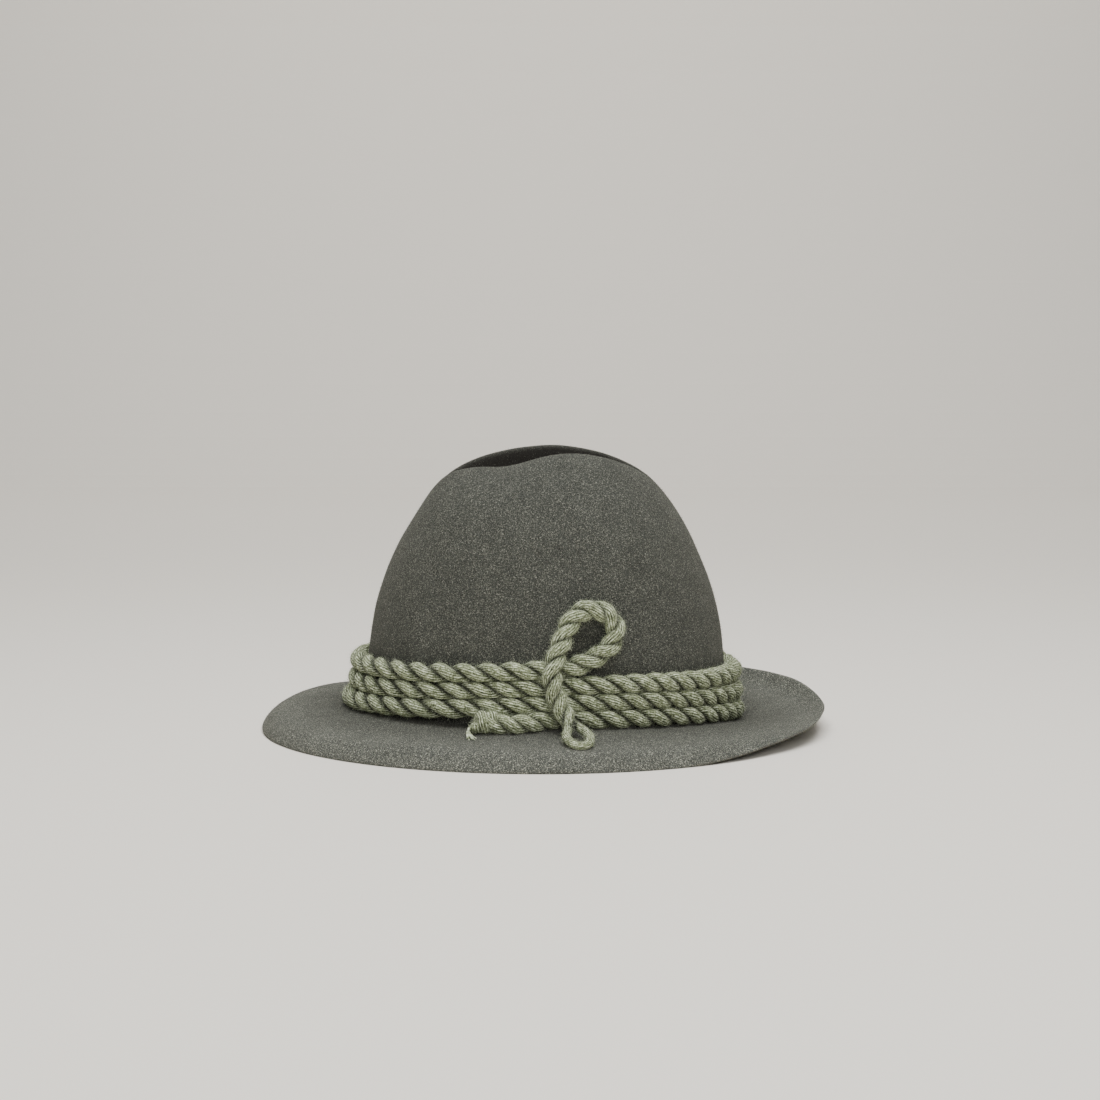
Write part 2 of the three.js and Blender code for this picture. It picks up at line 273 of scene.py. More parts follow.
class CordSettings(bpy.types.PropertyGroup):
    base: FloatVectorProperty(
        name="Wool",
        description="Main colour of the cord's wool",
        subtype="COLOR",
        default=linear("#88916f"),
    )
    # Partly the fibres' own tone, partly painted shade between the yarns and where the plies meet
    dark: FloatVectorProperty(
        name="Between yarns",
        description="Colour of the wool deep between the yarns",
        subtype="COLOR",
        default=linear("#25271a"),
    )
    # Also the painted highlight on the yarns' tops
    light: FloatVectorProperty(
        name="Loose fibres",
        description="Colour of the loose fibres on the cord",
        subtype="COLOR",
        default=linear("#e2e8cf"),
    )
    ply: FloatProperty(
        name="Ply",
        description="Diameter of each of the two plies",
        unit="LENGTH",
        default=6.5 * MM,
        min=2 * MM,
        max=8 * MM,
    )
    spread: FloatProperty(
        name="Ply offset",
        description="Distance of each ply's centre from the cord's centre",
        unit="LENGTH",
        default=2.3 * MM,
        min=1 * MM,
        max=4 * MM,
    )
    fuzz_length: FloatProperty(
        name="Fuzz length",
        description="Length of the longest loose fibres on the cord",
        unit="LENGTH",
        default=3.0 * MM,
        min=0.2 * MM,
        max=6 * MM,
    )


class StageSettings(bpy.types.PropertyGroup):
    floor: FloatVectorProperty(
        name="Floor",
        description="Colour of the floor and backdrop",
        subtype="COLOR",
        default=linear("#f3eee4"),
    )
    key: FloatProperty(
        name="Key light",
        description="Power of the large soft light overhead",
        unit="POWER",
        default=26.0,
        min=0.0,
    )
    fill: FloatProperty(
        name="Fill light",
        description="Strength of the even light from all round",
        default=0.15,
        min=0.0,
    )
    backdrop: FloatProperty(
        name="Backdrop light",
        description="Power of the soft light on the backdrop",
        unit="POWER",
        default=50.0,
        min=0.0,
    )
    front: FloatProperty(
        name="Front light",
        description="Power of the soft light beside the camera",
        unit="POWER",
        default=6.0,
        min=0.0,
    )


# Meshes


def new_object(name, mesh):
    piece = bpy.data.objects.new(name, mesh)
    bpy.context.scene.collection.objects.link(piece)
    return piece


def baked(piece):
    """A piece with its modifiers applied, under the same name"""
    depsgraph = bpy.context.evaluated_depsgraph_get()
    mesh = bpy.data.meshes.new_from_object(piece.evaluated_get(depsgraph))
    name = piece.name
    bpy.data.objects.remove(piece)
    mesh.name = name
    return new_object(name, mesh)


def finish(piece, slot, material, *nodes):
    """Gives a piece its material and its place in the frame"""
    piece.data.materials.clear()
    piece.data.materials.append(material)
    piece.data.polygons.foreach_set("use_smooth", [True] * len(piece.data.polygons))
    piece.data.update()
    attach(piece, "root")
    if nodes:
        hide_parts(*nodes)
    return piece


def smooth_step(value):
    value = np.clip(value, 0, 1)
    return value * value * (3 - 2 * value)


def fade(value, start, end):
    """0 at the start and 1 at the end, smoothly"""
    return smooth_step((value - start) / (end - start))


def spline(rows, shares, closed=False):
    """Points of the smooth curve through evenly spaced rows, at the given shares of its length"""
    rows = np.asarray(rows, float)
    shares = np.asarray(shares, float)
    if closed:
        place = (shares % 1) * len(rows)
        first = np.floor(place).astype(int)
        four = [rows[(first + i) % len(rows)] for i in (-1, 0, 1, 2)]
    else:
        place = np.clip(shares, 0, 1) * (len(rows) - 1)
        first = np.minimum(np.floor(place).astype(int), len(rows) - 2)
        rows = np.vstack([2 * rows[0] - rows[1], rows, 2 * rows[-1] - rows[-2]])
        four = [rows[first + i] for i in (0, 1, 2, 3)]
    a, b, c, d = four
    t = (place - first)[:, None]
    return 0.5 * (
        2 * b + (c - a) * t + (2 * a - 5 * b + 4 * c - d) * t**2 + (3 * b - a - 3 * c + d) * t**3
    )


def distances(points):
    """How far along a line each of its points is"""
    steps = np.linalg.norm(np.diff(points, axis=0), axis=1)
    return np.concatenate([[0], np.cumsum(steps)])


def evenly(points, step):
    """A line's points, spaced evenly"""
    along = distances(points)
    count = max(4, int(round(along[-1] / step)) + 1)
    wanted = np.linspace(0, along[-1], count)
    return np.stack([np.interp(wanted, along, points[:, i]) for i in range(3)], axis=1)


def resampled(values, gone, wanted):
    """Values given along a line, at other distances along it"""
    flat = values.reshape(len(values), -1)
    moved = [np.interp(wanted, gone, flat[:, i]) for i in range(flat.shape[1])]
    return np.stack(moved, axis=1).reshape(len(wanted), *values.shape[1:])


def eased(points, reach):
    """An evenly spaced line with its small kinks smoothed away over the given number of points"""
    spread = np.arange(-3 * reach, 3 * reach + 1)
    weights = np.exp(-0.5 * (spread / reach) ** 2)
    weights /= weights.sum()
    pad = 3 * reach
    before = 2 * points[0] - points[pad:0:-1]
    after = 2 * points[-1] - points[-2 : -pad - 2 : -1]
    padded = np.vstack([before, points, after])
    return np.stack([np.convolve(padded[:, i], weights, "valid") for i in range(3)], axis=1)


def frames_along(points):
    """Two unit directions across a line at each point, turning as little as they can"""
    forward = np.gradient(points, axis=0)
    forward /= np.linalg.norm(forward, axis=1)[:, None]
    side = np.empty_like(points)
    across = Vector((0, 0, 1))
    for i, direction in enumerate(forward):
        along = Vector(direction)
        across = (across - along * across.dot(along)).normalized()
        side[i] = across
    return side, np.cross(forward, side)


def wander(points, size, seed):
    """A smooth random value from about -1 to 1 for each point"""
    shift = Vector((7.3, 3.1, 5.7)) * seed
    swing = 1.6  # the noise itself stays within about 0.6
    return np.array([noise.noise(Vector(p) / size + shift) for p in points]) * swing


def set_values(mesh, name, values):
    """Stores a number for each vertex, for the material to read"""
    layer = mesh.attributes.new(name, "FLOAT", "POINT")
    layer.data.foreach_set("value", values.astype(np.float32))


def vertex_vectors(mesh, kind):
    """The places or normals of a mesh's vertices"""
    values = np.empty(len(mesh.vertices) * 3)
    mesh.vertices.foreach_get(kind, values)
    return values.reshape(-1, 3)


def pressed_flat(offset, centres, row, lie):
    """A ply's surface, from its centres, cut back to the twisted face that it shares with its
    mate, and halfway to the next turns"""
    rows = np.arange(len(centres))
    step = np.gradient(lie["middle"], axis=0)[row]
    beside = row + (offset * step).sum(1) / (step**2).sum(1)
    inward = resampled(lie["inward"], rows, beside)
    middle = resampled(lie["middle"], rows, beside)
    reach = ((centres[row] + offset - middle) * inward).sum(1)
    offset = offset - inward * np.clip(reach + AIR / 2, 0, None)[:, None]
    for toward, room in zip(lie["toward"][row].swapaxes(0, 1), lie["room"][row].T):
        reach = ((centres[row] + offset - lie["middle"][row]) * toward).sum(1)
        offset = offset - toward * np.clip(reach - room, 0, None)[:, None]
    return offset


def tube_mesh(name, centres, radii, sides, felt, turn=None, lie=None):
    """A mesh tube along a line, closed at both ends. turn winds its yarns round it. Soft wool is
    pressed flat against the felt and, with its lie, against its mate and the next turns. Its
    painted shade value is 1 outside and 0 where it meets its mate."""
    rows = len(centres)
    side, up = frames_along(centres)
    bm = bmesh.new()
    bmesh.ops.create_grid(bm, x_segments=sides, y_segments=rows - 1, size=1)
    place = np.array([v.co[:] for v in bm.verts])
    column = np.rint((place[:, 0] + 1) / 2 * sides).astype(int)
    row = np.rint((place[:, 1] + 1) / 2 * (rows - 1)).astype(int)
    angle = 2 * math.pi * (column % sides) / sides
    radius = radii[row]
    if turn is not None:
        angle = angle + turn[row]
    angle = angle[:, None]
    offset = (side[row] * np.cos(angle) + up[row] * np.sin(angle)) * radius[:, None]
    crest = np.ones(len(offset))
    if lie is not None:
        inward = lie["inward"][row]
        reach = (offset * inward).sum(1) / radius
        start = GROOVE_SHADE_FROM * np.linalg.norm(inward, axis=1)
        crest -= smooth_step((reach - start) / (GROOVE_SHADE_TO - GROOVE_SHADE_FROM))
        offset = pressed_flat(offset, centres, row, lie)
    for vertex, centre, out in zip(bm.verts, centres[row], offset):
        vertex.co = centre + out * free_share(felt, Vector(centre), Vector(out))
    mesh = bpy.data.meshes.new(name)
    bm.to_mesh(mesh)
    layer = mesh.uv_layers.new(name="UVMap")
    corners = np.empty(len(mesh.loops), int)
    mesh.loops.foreach_get("vertex_index", corners)
    along = distances(centres)
    uv = np.stack([column[corners] / sides, along[row[corners]]], axis=1)
    layer.data.foreach_set("uv", uv.astype(np.float32).ravel())
    # Stored for the material's painted shade between the plies
    set_values(mesh, "crest", crest)
    bm.clear()
    bm.from_mesh(mesh)
    bmesh.ops.remove_doubles(bm, verts=bm.verts, dist=1e-7)
    bmesh.ops.holes_fill(bm, edges=[e for e in bm.edges if e.is_boundary], sides=0)
    bm.to_mesh(mesh)
    bm.free()
    return mesh


def free_share(felt, centre, out):
    """How much of a way out from a strand's centre is clear of the felt"""
    length = out.length
    hit = felt.ray_cast(centre, out, length + AIR)[3]
    return 1 if hit is None else max(hit - AIR, 0) / length


def joined(name, meshes):
    """One mesh object from several meshes"""
    bm = bmesh.new()
    for mesh in meshes:
        bm.from_mesh(mesh)
    whole = bpy.data.meshes.new(name)
    bm.to_mesh(whole)
    bm.free()
    return new_object(name, whole)


def round_ends(radii, step, start=True, end=True):
    """Radii that round off towards the free ends of a strand"""
    radii = np.array(radii, float)
    smallest = 0.02  # squared share, so that no row closes to a point
    from_start = np.arange(len(radii)) * step / FREE_END
    for wanted, share in ((start, from_start), (end, from_start[::-1])):
        if wanted:
            radii *= np.sqrt(np.clip(1 - (1 - np.clip(share, 0, 1)) ** 2, smallest, 1))
    return radii


# The cord's lie


def break_height(angle):
    heights = spline(np.array(BREAK_HEIGHTS)[:, None], np.atleast_1d(angle) / 360, closed=True)
    return heights[:, 0] * BRIM_SET


def wall_hit(tree, origin, direction):
    """The outer face of the crown's wall, met from inside, and its level direction outwards"""
    hit = tree.ray_cast(origin, direction)[0]
    point, normal = tree.ray_cast(hit + direction * WALL_STEP, direction)[:2]
    return point, Vector((normal.x, normal.y, 0)).normalized()


def route_points(tree, route):
    """The cord's centre line along a route on the wearer's left"""
    points = []
    for x, up, off in route:
        angle = 270 + math.degrees(math.asin(x * CORD / (CROWN_LENGTH / 2)))
        height = break_height(angle)[0] + up * CORD
        point, outward = wall_hit(
            tree, Vector((CROWN_MIDDLE + x * CORD, 0, height)), Vector((0, -1, 0))
        )
        points.append(point + outward * off * CORD)
    return np.array([p[:] for p in points])


def winding_points(tree):
    """The cord's centre line round the crown, laid against its wall"""
    points = []
    for turned in np.linspace(0, 360 * TURNS, TURN_POINTS * TURNS + 1):
        turn = min(int(turned // 360), TURNS - 1)
        rise, step, lean = spline(TURN_STATIONS, [(turned - 360 * turn) / 360])[0]
        angle = KNOT_ANGLE + turned
        height = break_height(angle)[0] + (rise + turn * step) * CORD
        direction = Vector(
            (
                CROWN_LENGTH * math.cos(math.radians(angle)),
                CROWN_WIDTH * math.sin(math.radians(angle)),
                0,
            )
        ).normalized()
        point, outward = wall_hit(tree, Vector((CROWN_MIDDLE, 0, height)), direction)
        off = CORD / 2 + CLEARANCE + max(0, (TURNS - 1 - turned / 360) * lean) * CORD
        points.append(point + outward * off)
    return np.array([p[:] for p in points])


def next_stretches(line, along):
    """For each point of the cord, the ways to the stretches of cord above, below, outside and
    inside it, and how far it can reach before it meets them halfway"""
    across = line[None] - line[:, None]
    far = np.linalg.norm(across, axis=2)
    other = np.abs(along[None] - along[:, None]) > OTHER_STRETCH
    outward = line * (1, 1, 0)
    outward /= np.linalg.norm(outward, axis=1)[:, None]
    outer = (across * outward[:, None]).sum(2)
    here = np.arange(len(line))
    toward, room = [], []
    for share in (across[..., 2], -across[..., 2], outer, -outer):
        distance = np.where(other & (share > NEIGHBOUR_FACING * far), far, NO_NEIGHBOUR)
        nearest = distance.argmin(1)
        distance = distance[here, nearest]
        toward.append(across[here, nearest] / far[here, nearest].clip(AIR)[:, None])
        room.append((distance - AIR) / 2)
    return np.stack(toward, axis=1), np.stack(room, axis=1)


def cord_line():
    """The whole cord's centre line from knot to neck, its frames, and how far it has twisted"""
    felt = bpy.data.objects["felt_hat"]
    tree = BVHTree.FromObject(felt, bpy.context.evaluated_depsgraph_get())
    tail = spline(route_points(tree, TAIL_ROUTE), np.linspace(0, 1, TAIL_POINTS))[::-1]
    winding = winding_points(tree)
    loop = spline(route_points(tree, LOOP_ROUTE), np.linspace(0, 1, LOOP_POINTS))
    line = eased(evenly(np.vstack([tail[:-1], winding, loop[1:]]), PATH_STEP), LINE_EASE)
    along = distances(line)
    tail_end = distances(tail)[-1]
    winding_end = along[-1] - distances(loop)[-1]
    turned = 2 * math.pi * TURNS * (along - tail_end) / (winding_end - tail_end)
    lay = WINDING_LAY * (1 - LAY_SWING * np.sin(turned))
    lay *= 1 + LAY_WANDER * wander(line, 50 * MM, 1)
    lay = np.where(along < tail_end, TAIL_LAY, lay)
    lay = np.where(along > winding_end, LOOP_LAY, lay)
    twist = np.concatenate([[0], np.cumsum(2 * math.pi * np.diff(along) / lay[1:])])
    # Each turn is a quarter twist out of step with the one below, so the rows nest
    share = np.clip((along - tail_end) / (winding_end - tail_end), 0, 1)
    a_turn = (twist[share < 1][-1] - twist[share > 0][0]) / TURNS
    nested = (round(a_turn / math.pi - 0.5) + 0.5) * math.pi
    twist += share * (nested - a_turn) * TURNS
    side, up = frames_along(line)
    neck = math.atan2(up[-1][0], side[-1][0])  # where the first ply would lie to the right
    miss = (neck - twist[-1] + math.pi / 2) % math.pi - math.pi / 2
    twist += miss * smooth_step((along - winding_end) / (along[-1] - winding_end))
    toward, room = next_stretches(line, along)
    return {
        "felt": tree,
        "toward": toward,
        "room": room,
        "line": line,
        "along": along,
        "side": side,
        "up": up,
        "twist": twist,
        "tail_end": tail_end,
        "winding_end": winding_end,
    }


def ply_rows(cord, which, start, end, settings):
    """One ply between two distances along the cord, row by row: its centre and radius, the way to
    its mate, the cord's middle and the cord's neighbours. The twist opens a little towards the
    neck."""
    inside = (cord["along"] >= start) & (cord["along"] <= end)
    angle = cord["twist"][inside][:, None] + math.pi * which
    outward = cord["side"][inside] * np.cos(angle) + cord["up"][inside] * np.sin(angle)
    line = cord["line"][inside]
    to_neck = cord["along"][-1] - cord["along"][inside]
    opened = fade(to_neck, OPEN_FROM, OPEN_TO)
    loose = SPREAD_WANDER * wander(line, 20 * MM, 2 + which)
    thick = PLY_WANDER * wander(line, 12 * MM, 4 + which)
    spread = settings.spread * (1 + loose + OPEN_SPREAD * opened)
    return {
        "centre": line + outward * spread[:, None],
        "radius": settings.ply / 2 * (1 + thick - OPEN_THIN * opened),
        "inward": -outward,
        "middle": line,
        "toward": cord["toward"][inside],
        "room": cord["room"][inside],
    }


def ply_mesh(name, cord, which, start, end, settings, free_start=False):
    rows = ply_rows(cord, which, start, end, settings)
    gone = distances(rows["centre"])
    radii = round_ends(rows["radius"], gone[-1] / (len(gone) - 1), free_start, False)
    turn = -gone * 2 * math.pi / YARN_LAY
    return tube_mesh(name, rows["centre"], radii, PLY_SIDES, cord["felt"], turn, rows)


def scatter_fibres(name, source, count, length, lean, seed):
    """Loose fibres that stand on a piece, each a thin bent spindle"""
    bm = bmesh.new()
    bmesh.ops.create_cone(
        bm,
        cap_ends=True,
        segments=3,
        radius1=FIBRE_WIDTH / 2,
        radius2=0,
        depth=length * (1 - FIBRE_BELT),
    )
    halfway = length * (1 + FIBRE_BELT) / 2
    bmesh.ops.translate(bm, verts=bm.verts, vec=(0, 0, halfway))
    foot = min(bm.faces, key=lambda f: f.calc_center_median().z)
    centre = bmesh.ops.poke(bm, faces=[foot])["verts"][0]
    centre.co.z = -FIBRE_ROOT
    belt = [v for v in bm.verts if 0 < v.co.z < halfway]
    bmesh.ops.translate(bm, verts=belt, vec=(length * FIBRE_BEND, 0, 0))
    fibre_mesh = bpy.data.meshes.new(name + "_fibre")
    bm.to_mesh(fibre_mesh)
    bm.free()
    fibre = new_object(name + "_fibre", fibre_mesh)
    ground = new_object(name, source.data.copy())
    area = sum(p.area for p in ground.data.polygons)

    tree = bpy.data.node_groups.new(name, "GeometryNodeTree")
    tree.interface.new_socket("Geometry", in_out="INPUT", socket_type="NodeSocketGeometry")
    tree.interface.new_socket("Geometry", in_out="OUTPUT", socket_type="NodeSocketGeometry")
    start = add(tree, "NodeGroupInput")
    points = add(
        tree,
        "GeometryNodeDistributePointsOnFaces",
        {"Mesh": start.outputs[0], "Density": count / area, "Seed": seed},
    )
    turn = add(
        tree,
        "FunctionNodeRandomValue",
        {0: (-lean, -lean, 0), 1: (lean, lean, 2 * math.pi), "Seed": seed + 1},
        data_type="FLOAT_VECTOR",
    )
    turned = add(
        tree,
        "FunctionNodeRotateRotation",
        {"Rotation": points.outputs["Rotation"], "Rotate By": turn.outputs[0]},
        rotation_space="LOCAL",
    )
    scale = add(
        tree,
        "FunctionNodeRandomValue",
        {2: FIBRE_SHORTEST, 3: 1.0, "Seed": seed + 2},
        data_type="FLOAT",
    )
    shape = add(tree, "GeometryNodeObjectInfo", {"Object": fibre})
    instances = add(
        tree,
        "GeometryNodeInstanceOnPoints",
        {
            "Points": points.outputs["Points"],
            "Instance": shape.outputs["Geometry"],
            "Rotation": turned.outputs[0],
            "Scale": scale.outputs[1],
        },
    )
    real = add(tree, "GeometryNodeRealizeInstances", {0: instances.outputs[0]})
    add(tree, "NodeGroupOutput", {0: real.outputs[0]})
    ground.modifiers.new("Fibres", "NODES").node_group = tree
    piece = baked(ground)
    bpy.data.objects.remove(fibre)
    for vertex in piece.data.vertices:
        vertex.co.z = max(vertex.co.z, 0)  # fibres lie flat where the hat rests
    return piece


def add_fuzz(piece, count, seed, settings, loose):
    """The loose fibres on a piece of cord"""
    fuzz = scatter_fibres(
        f"{piece.name}_fuzz", piece, count, settings.fuzz_length, FUZZ_LEAN, seed
    )
    finish(fuzz, "wool_cord", loose)


# Materials


def add(tree, kind, inputs=None, **settings):
    """Adds a node with its settings, its values and the links into it"""
    node = tree.nodes.new(kind)
    for key, value in settings.items():
        setattr(node, key, value)
    for key, value in (inputs or {}).items():
        if isinstance(value, bpy.types.NodeSocket):
            tree.links.new(value, node.inputs[key])
        else:
            node.inputs[key].default_value = value
    return node


def new_material(name):
    material = bpy.data.materials.new(name)
    material.use_nodes = True
    material.node_tree.nodes.clear()
    return material, material.node_tree


def grain(tree, place, size, detail=2, roughness=0.6, distortion=0):
    """Noise with lumps of about the given size"""
    values = {
        "Vector": place,
        "Scale": 1 / size,
        "Detail": detail,
        "Roughness": roughness,
        "Distortion": distortion,
    }
    return add(tree, "ShaderNodeTexNoise", values).outputs[0]


def between(tree, value, low, high, to_low=0, to_high=1):
    """A value moved from one range to another, and kept within it"""
    values = {
        "Value": value,
        "From Min": low,
        "From Max": high,
        "To Min": to_low,
        "To Max": to_high,
    }
    return add(tree, "ShaderNodeMapRange", values).outputs[0]


def calculate(tree, operation, *values):
    values = dict(enumerate(values))
    return add(tree, "ShaderNodeMath", values, operation=operation).outputs[0]


def mixed(tree, share, first, second):
    values = {0: share, 6: first, 7: second}
    return add(tree, "ShaderNodeMix", values, data_type="RGBA").outputs[2]


def shaded(tree, colour, by):
    values = {0: colour, "Scale": by}
    return add(tree, "ShaderNodeVectorMath", values, operation="SCALE").outputs[0]


def bumped(tree, height, strength, distance):
    values = {"Height": height, "Strength": strength, "Distance": distance}
    return add(tree, "ShaderNodeBump", values).outputs[0]


def attribute(tree, name):
    return add(tree, "ShaderNodeAttribute", attribute_name=name).outputs["Fac"]


def surface(tree, values):
    shader = add(tree, "ShaderNodeBsdfPrincipled", values)
    add(tree, "ShaderNodeOutputMaterial", {"Surface": shader.outputs[0]})


def heather_felt(settings):
    """Blocked wool felt, steamed over a form and lightly brushed. Fibres of several greys lie
    every way, so the eye sees fine salt and pepper with no weave, and no gloss."""
    material, tree = new_material("heather_wool_felt_blocked")
    place = add(tree, "ShaderNodeTexCoord").outputs["Object"]
    speck = grain(tree, place, FELT_SPECK)
    light_speck = grain(tree, place, FELT_LIGHT_SPECK, distortion=1)
    mottle = grain(tree, place, FELT_MOTTLE, detail=4)
    is_dark = between(tree, speck, 0.50, 0.36)
    is_light = between(tree, light_speck, 0.54, 0.68)
    colour = mixed(tree, is_dark, rgba(settings.base), rgba(settings.dark))
    colour = mixed(tree, is_light, colour, rgba(settings.light))
    colour = shaded(tree, colour, between(tree, mottle, 0.3, 0.7, 0.86, 1.1))
    # Partly wear, partly painted highlight: the felt is made paler towards the brim's edge
    colour = shaded(tree, colour, between(tree, attribute(tree, "worn"), 0, 1, 1, WEAR_HIGHLIGHT_PALER))
    # Painted shade: the crease's felt is mixed towards near black, most on its far wall
    colour = mixed(tree, attribute(tree, "crease"), colour, rgba(linear("#0e0a07")))
    height = calculate(tree, "ADD", speck, light_speck)
    surface(
        tree,
        {
            "Base Color": colour,
            "Normal": bumped(tree, height, 0.55, 0.5 * MM),
            "Roughness": 0.95,
            "IOR": 1.5,
            "Specular IOR Level": 0.15,
            "Sheen Weight": 0.10,
            "Sheen Roughness": 0.5,
            "Sheen Tint": rgba(linear("#c9c6b8")),
        },
    )
    return material


def plied_wool(settings):
    """Carded wool spun into yarns, plied and twisted to a cord. Each ply shows fine lines where
    its yarns lie side by side, over the fibres' own tone: painted shade between them, and a dull
    painted highlight on top."""
    material, tree = new_material("carded_wool_cord_plied")
    unrolled = add(tree, "ShaderNodeUVMap", uv_map="UVMap").outputs[0]
    around, along = add(tree, "ShaderNodeSeparateXYZ", {0: unrolled}).outputs[:2]
    place = add(tree, "ShaderNodeTexCoord").outputs["Object"]
    across = calculate(tree, "MULTIPLY", around, CORD_FIBRES)
    length = calculate(tree, "MULTIPLY", along, 1 / CORD_FIBRE_LENGTH)
    drawn = add(tree, "ShaderNodeCombineXYZ", {0: across, 1: length}).outputs[0]
    streak = grain(tree, drawn, 1, detail=3, roughness=0.5)
    speck = grain(tree, place, CORD_SPECK)
    wobble = grain(tree, place, CORD_WOBBLE, roughness=0.5)
    wandering = calculate(tree, "MULTIPLY", wobble, YARN_WANDER)
    phase = calculate(tree, "MULTIPLY_ADD", around, 2 * math.pi * YARNS, wandering)
    ridge = calculate(tree, "COSINE", phase)
    height = calculate(tree, "MULTIPLY_ADD", ridge, YARN_WEIGHT, streak)
    height = calculate(tree, "MULTIPLY_ADD", speck, SPECK_WEIGHT, height)
    # Partly the fibres' own tone, partly painted shade between the yarns and a painted highlight
    # on their tops
    shade = between(tree, height, 0.60, 1.0)
    shine = between(tree, height, 0.94, 1.2)
    # Painted shade where the plies meet, and a painted highlight on their outer crest
    deep = between(tree, attribute(tree, "crest"), 0, 1, 0.08, 1.12)
    colour = mixed(tree, shade, rgba(settings.dark), rgba(settings.base))
    colour = mixed(tree, shine, colour, rgba(settings.light))
    surface(
        tree,
        {
            "Base Color": shaded(tree, colour, deep),
            "Normal": bumped(tree, height, 0.8, 0.6 * MM),
            "Roughness": 0.9,
            "IOR": 1.5,
            "Specular IOR Level": 0.2,
            "Sheen Weight": 0.2,
            "Sheen Roughness": 0.5,
            "Sheen Tint": rgba(linear("#d5d8c2")),
        },
    )
    return material


def loose_wool(name, dark, light):
    """Single wool fibres, brushed up by wear. They vary from one to the next, so each takes its
    tone from where it stands."""
    material, tree = new_material(name)
    place = add(tree, "ShaderNodeTexCoord").outputs["Object"]
    spot = grain(tree, place, FIBRE_TONE, detail=1, roughness=0.5)
    colour = mixed(tree, between(tree, spot, 0.35, 0.65), rgba(dark), rgba(light))
    surface(
        tree,
        {"Base Color": colour, "Roughness": 0.8, "IOR": 1.5, "Specular IOR Level": 0.2},
    )
    return material


def painted_board(colour):
    """Matt painted board, rolled on, so that it is even and has no gloss"""
    material, tree = new_material("matt_painted_board")
    surface(tree, {"Base Color": rgba(colour), "Roughness": 0.9})
    return material


# Operators


class HAT_OT_felt(bpy.types.Operator):
    """Shape the felt body and raise its nap"""

    bl_idname = "hat.felt"
    bl_label = "Felt body"

    def execute(self, context):
        settings = context.scene.hat_felt
        bm = bmesh.new()
        bm.from_mesh(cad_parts["felt_body"].data)
        bmesh.ops.remove_doubles(bm, verts=bm.verts, dist=0.02 * MM)
        bmesh.ops.join_triangles(
            bm,
            faces=bm.faces,
            angle_face_threshold=math.pi,
            angle_shape_threshold=math.pi,
        )
        mesh = bpy.data.meshes.new("felt_hat")
        bm.to_mesh(mesh)
        bm.free()
        felt = new_object("felt_hat", mesh)
        smooth = felt.modifiers.new("Smooth", "SUBSURF")
        smooth.levels = 2
        smooth.render_levels = 2
        felt = baked(felt)
        self.ease(felt.data)
        self.mark_tones(felt.data)
        finish(felt, "felt", heather_felt(settings), "felt_body")
        nap = loose_wool("felt_nap_brushed", settings.dark, settings.light)
        if settings.nap_count:
            half = settings.nap_count // 2
            for number in (1, 2):
                name = f"felt_nap_{number}"
                seed = number * 11
                piece = scatter_fibres(name, felt, half, settings.nap_length, NAP_LEAN, seed)
                finish(piece, "felt", nap)
        return {"FINISHED"}

    def ease(self, mesh):
        """Small slow hand-blocked unevenness that moves both faces of the felt together"""
        noise.seed_set(WAVE_SEED)  # without it noise_vector starts from the clock
        points = vertex_vectors(mesh, "co")
        slow = np.array([noise.noise_vector(Vector(p) / SLOW_WAVE)[:] for p in points])
        quick = np.array([noise.noise_vector(Vector(p) / QUICK_WAVE)[:] for p in points])
        free = smooth_step(points[:, 2] / STILL_HEIGHT)[:, None]
        points += (slow * SLOW_SWING + quick * QUICK_SWING) * free
        points[:, 2] = np.maximum(points[:, 2], 0)
        mesh.vertices.foreach_set("co", points.ravel())
        mesh.update()

    def mark_tones(self, mesh):
        """Paints shade into the crease as darker felt, most on its far wall, and makes the brim's
        edge paler, partly as wear and partly as a painted highlight
        """
        points = vertex_vectors(mesh, "co")
        x, y, z = (points - (CROWN_MIDDLE, 0, 0)).T
        above = fade(vertex_vectors(mesh, "normal")[:, 2], 0, UPWARD)
        reach = np.hypot(x / (RIDGE_LENGTH / 2), y / (RIDGE_WIDTH / 2))
        inside = fade(reach, CREASE_SHADE_FROM, CREASE_SHADE_TO)
        high = fade(z, CREASE_SHADE_LOW, CREASE_SHADE_HIGH)
        far = fade(y / (RIDGE_WIDTH / 2), FAR_FROM, FAR_TO)
        depth = CREASE_SHADE_NEAR + (CREASE_SHADE_FAR - CREASE_SHADE_NEAR) * far
        # Painted shade in the crease, on upward faces, darkest on the far wall
        set_values(mesh, "crease", above * inside * high * depth)
        # Partly wear, partly painted highlight: low felt beyond the crown's oval is made paler
        reach = np.hypot(x / (CROWN_LENGTH / 2), y / (CROWN_WIDTH / 2))
        low = fade(z, WEAR_HIGHLIGHT_HIGH, WEAR_HIGHLIGHT_LOW)
        set_values(mesh, "worn", low * fade(reach, WEAR_HIGHLIGHT_FROM, WEAR_HIGHLIGHT_TO))


class HAT_OT_winding(bpy.types.Operator):
    """Wind the cord round the crown"""

    bl_idname = "hat.winding"
    bl_label = "Cord winding"

    def execute(self, context):
        settings = context.scene.hat_cord
        cord = cord_line()
        wool = plied_wool(settings)
        loose = loose_wool("wool_fuzz_on_cord", settings.base, settings.light)
        for which, name in enumerate(("winding_ply_a", "winding_ply_b")):
            mesh = ply_mesh(name, cord, which, cord["tail_end"], cord["winding_end"], settings)
            ply = finish(new_object(name, mesh), "wool_cord", wool, "cord_winding")
            add_fuzz(ply, WINDING_FUZZ, 31 + which, settings, loose)
        return {"FINISHED"}


